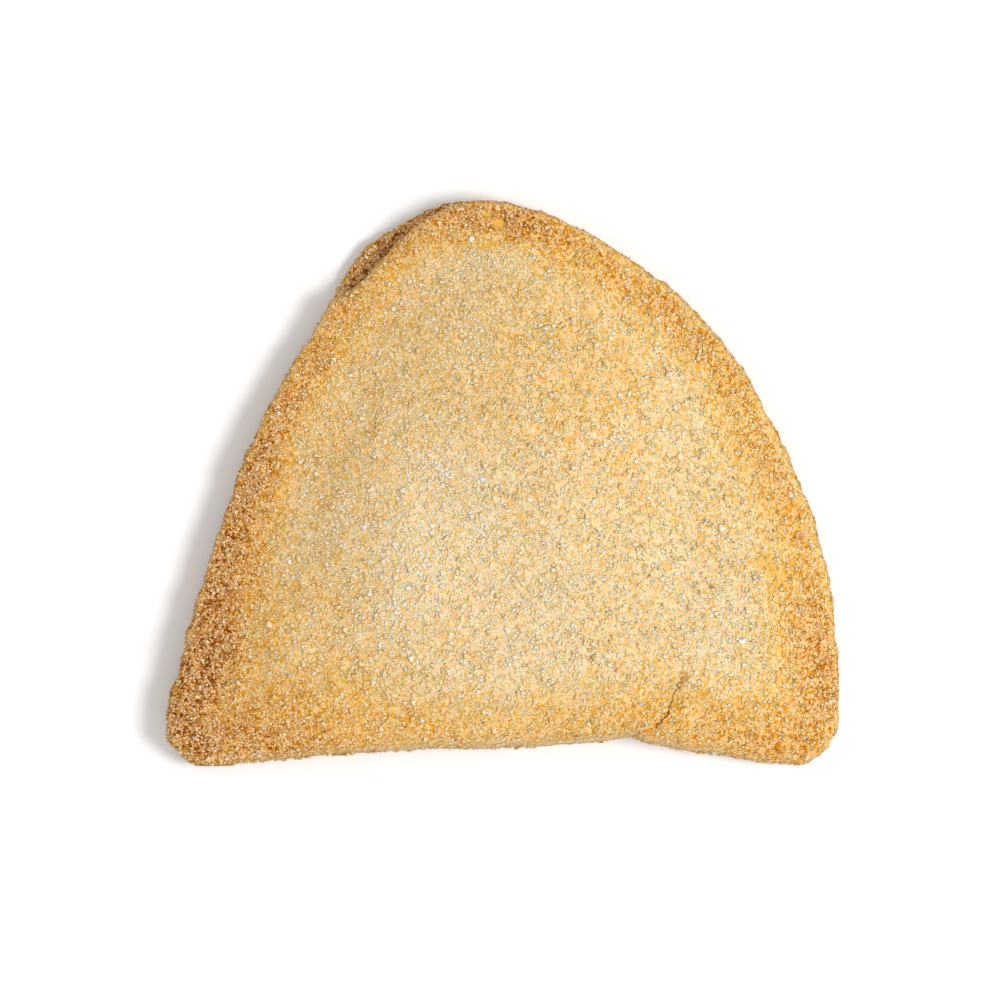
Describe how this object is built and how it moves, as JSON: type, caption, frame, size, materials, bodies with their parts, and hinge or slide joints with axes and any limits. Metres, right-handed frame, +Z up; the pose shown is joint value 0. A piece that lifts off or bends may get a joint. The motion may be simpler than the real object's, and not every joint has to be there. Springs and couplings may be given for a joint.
{
  "type": "turnover pastry",
  "caption": "Half-moon turnover: a round of shortcrust folded over a filling, pressed shut along its curved edge and coated in sugar. Lies flat.",
  "frame": {"origin": "on the table under the middle of the pastry's outline", "axes": "+X along the fold towards the right corner, +Y towards the curved pressed seam, +Z up from the flat underside"},
  "size_m": [0.1048, 0.0882, 0.0153],
  "materials": {
    "sugared_crust": "baked golden shortcrust, browned at the edge and under a coat of clear sugar grains"
  },
  "bodies": {
    "root": {"turnover": "sugared_crust"}
  },
  "joints": []
}
